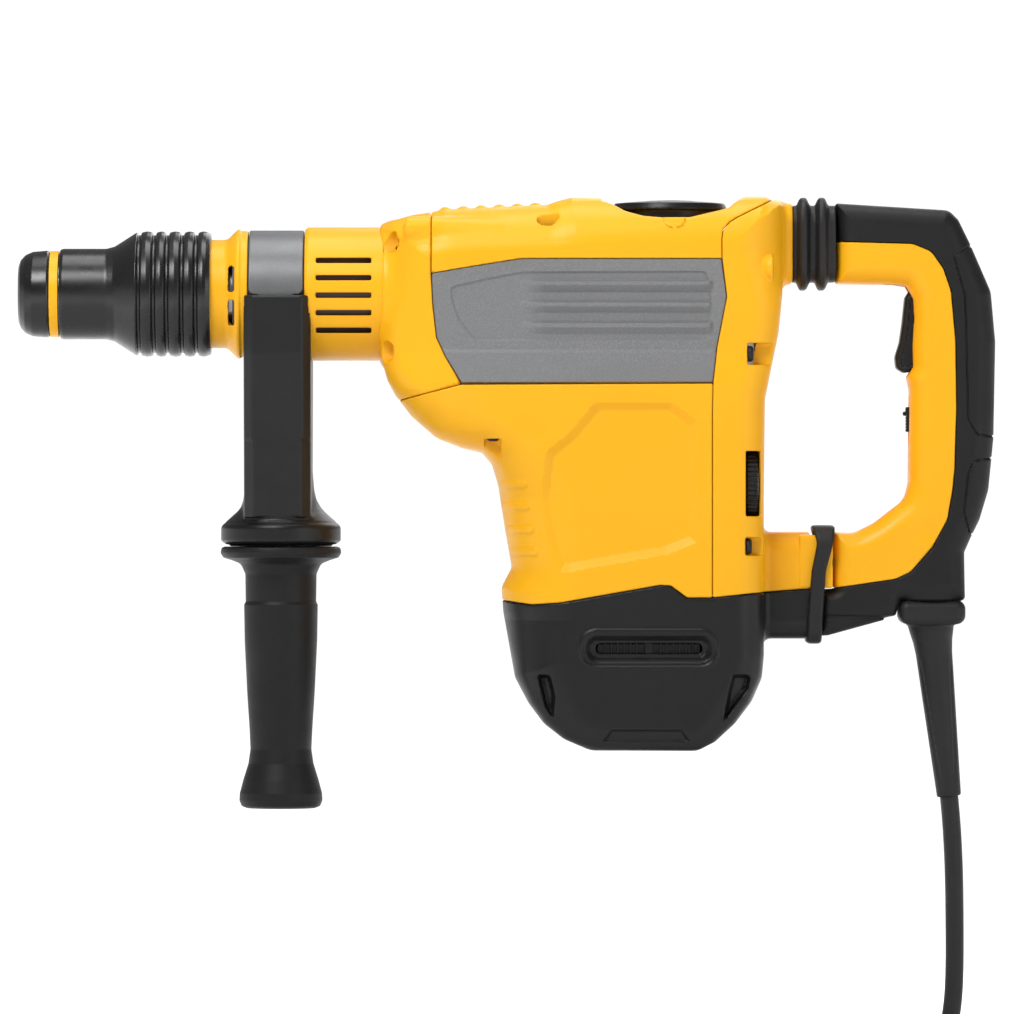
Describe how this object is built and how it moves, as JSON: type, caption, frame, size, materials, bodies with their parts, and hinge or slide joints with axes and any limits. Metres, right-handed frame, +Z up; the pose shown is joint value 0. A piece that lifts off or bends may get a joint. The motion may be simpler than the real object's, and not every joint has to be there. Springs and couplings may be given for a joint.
{
  "type": "demolition hammer",
  "caption": "L-shaped demolition hammer with slotted-shank tool holder, turnable side handle, sprung rear handle with trigger, mode and speed dials, inner drive train and cord",
  "frame": {"origin": "middle of the rear grip, where the hand holds it", "axes": "+X to the rear handle with the striking axis along X, +Y across the body, +Z up through the rear grip"},
  "size_m": [0.476, 0.2015, 0.4404],
  "materials": {
    "yellow_plastic": "satin moulded, fine texture",
    "black_plastic": "satin moulded",
    "black_rubber": "matt rubber",
    "grey_plastic": "textured grey",
    "band_steel": "satin grey band",
    "machined_steel": "ground",
    "cast_aluminium": "as cast",
    "laminated_iron": "stacked sheets",
    "copper_winding": "varnished",
    "brass": "stamped",
    "circuit_board": "potted board"
  },
  "bodies": {
    "housing": {"front_collar": "yellow_plastic", "barrel_tube": "cast_aluminium", "barrel_sleeve": "yellow_plastic", "front_cover": "yellow_plastic", "gear_cover": "yellow_plastic", "side_panel_left": "grey_plastic", "side_panel_right": "grey_plastic", "motor_housing": "yellow_plastic", "motor_cap": "black_plastic", "rear_cover": "yellow_plastic", "housing_screws": "machined_steel", "gear_case": "cast_aluminium", "gear_case_lid": "cast_aluminium", "bearing_plate": "cast_aluminium", "bearings": "machined_steel", "stator": "laminated_iron", "field_coils": "copper_winding", "brush_holders": "brass", "control_module": "circuit_board", "handle_pins": "machined_steel", "handle_strap": "black_rubber"},
    "spindle": {"nose_cap": "black_rubber", "accent_ring": "yellow_plastic", "tool_holder": "machined_steel", "locking_bars": "machined_steel", "spindle_tube": "machined_steel", "bevel_ring_gear": "machined_steel", "bolt_guide": "machined_steel"},
    "lock_sleeve": {"lock_sleeve": "black_plastic", "sleeve_spring": "machined_steel"},
    "side_handle": {"clamp_band": "band_steel", "handle_bracket": "black_plastic", "clamp_bolt": "machined_steel"},
    "side_grip": {"side_grip": "black_rubber", "grip_core": "black_plastic"},
    "armature": {"armature": "machined_steel", "commutator": "copper_winding", "cooling_fan": "black_plastic"},
    "crank": {"crankshaft": "machined_steel", "crank_gear": "machined_steel"},
    "bevel_shaft": {"bevel_shaft": "machined_steel"},
    "piston": {"piston": "cast_aluminium", "wrist_pin": "machined_steel"},
    "connecting_rod": {"connecting_rod": "machined_steel"},
    "striker": {"striker": "machined_steel"},
    "impact_bolt": {"impact_bolt": "machined_steel"},
    "mode_dial": {"mode_dial": "black_plastic"},
    "speed_dial": {"speed_dial": "black_plastic"},
    "rear_handle": {"rear_handle": "yellow_plastic", "handle_overmould": "black_rubber", "switch_module": "black_plastic", "cord_gland_boot": "black_rubber", "power_cord": "black_rubber", "cord_coil": "black_rubber", "cord_tie": "black_plastic", "power_plug": "black_plastic", "isolator_bellows": "black_rubber", "isolator_spring": "machined_steel"},
    "trigger": {"trigger": "black_plastic"},
    "lock_slider": {"lock_slider": "black_plastic"}
  },
  "joints": [
    {"name": "armature_spin", "type": "hinge", "parent": "housing", "child": "armature", "pos_m": [-0.158, 0, -0.06], "axis": [0, 0, 1], "continuous": true},
    {"name": "crank_spin", "type": "hinge", "parent": "housing", "child": "crank", "pos_m": [-0.126, 0, 0.02], "axis": [0, 0, 1], "continuous": true},
    {"name": "bevel_shaft_spin", "type": "hinge", "parent": "housing", "child": "bevel_shaft", "pos_m": [-0.1855, 0, 0.02], "axis": [0, 0, 1], "continuous": true},
    {"name": "spindle_spin", "type": "hinge", "parent": "housing", "child": "spindle", "pos_m": [-0.3, 0, 0.059], "axis": [1, 0, 0], "continuous": true},
    {"name": "sleeve_pull", "type": "slide", "parent": "spindle", "child": "lock_sleeve", "axis": [1, 0, 0], "range_m": [0, 0.0085], "stiffness_N_per_m": 1200, "springref_m": -0.004, "deforming": ["sleeve_spring"]},
    {"name": "side_handle_swing", "type": "hinge", "parent": "housing", "child": "side_handle", "pos_m": [-0.3265, 0, 0.059], "axis": [1, 0, 0], "continuous": true},
    {"name": "grip_twist", "type": "hinge", "parent": "side_handle", "child": "side_grip", "pos_m": [-0.3265, 0, -0.12], "axis": [0, 0, 1], "range_deg": [0, 360]},
    {"name": "piston_slide", "type": "slide", "parent": "housing", "child": "piston", "axis": [1, 0, 0], "range_m": [0, 0.027]},
    {"name": "rod_swing", "type": "hinge", "parent": "piston", "child": "connecting_rod", "pos_m": [-0.1915, 0, 0.059], "axis": [0, 0, 1], "range_deg": [-15, 15]},
    {"name": "striker_slide", "type": "slide", "parent": "housing", "child": "striker", "axis": [1, 0, 0], "range_m": [-0.006, 0.024]},
    {"name": "impact_bolt_slide", "type": "slide", "parent": "spindle", "child": "impact_bolt", "axis": [1, 0, 0], "range_m": [-0.003, 0.002]},
    {"name": "mode_dial_turn", "type": "hinge", "parent": "housing", "child": "mode_dial", "pos_m": [-0.1369, 0, 0.1], "axis": [0, 0, 1], "range_deg": [-90, 90]},
    {"name": "speed_dial_turn", "type": "hinge", "parent": "housing", "child": "speed_dial", "pos_m": [-0.0974, -0.026, -0.0336], "axis": [1, 0, 0], "range_deg": [-150, 150]},
    {"name": "handle_float", "type": "hinge", "parent": "housing", "child": "rear_handle", "pos_m": [-0.062, 0, -0.072], "axis": [0, 1, 0], "range_deg": [-1.5, 0.5], "stiffness_Nm_per_rad": 600, "deforming": ["isolator_bellows", "isolator_spring"]},
    {"name": "trigger_squeeze", "type": "hinge", "parent": "rear_handle", "child": "trigger", "pos_m": [-0.0154, 0, 0.057], "axis": [0, 1, 0], "range_deg": [-9, 0], "stiffness_Nm_per_rad": 1.2, "springref_deg": 8.59},
    {"name": "lock_slide", "type": "slide", "parent": "rear_handle", "child": "lock_slider", "axis": [0, 0, 1], "range_m": [0, 0.004]}
  ],
  "couplings": [
    {"joint": "crank_spin", "follows": "armature_spin", "ratio": -0.18519},
    {"joint": "bevel_shaft_spin", "follows": "armature_spin", "ratio": -0.22222},
    {"joint": "spindle_spin", "follows": "armature_spin", "ratio": 0.074074}
  ]
}
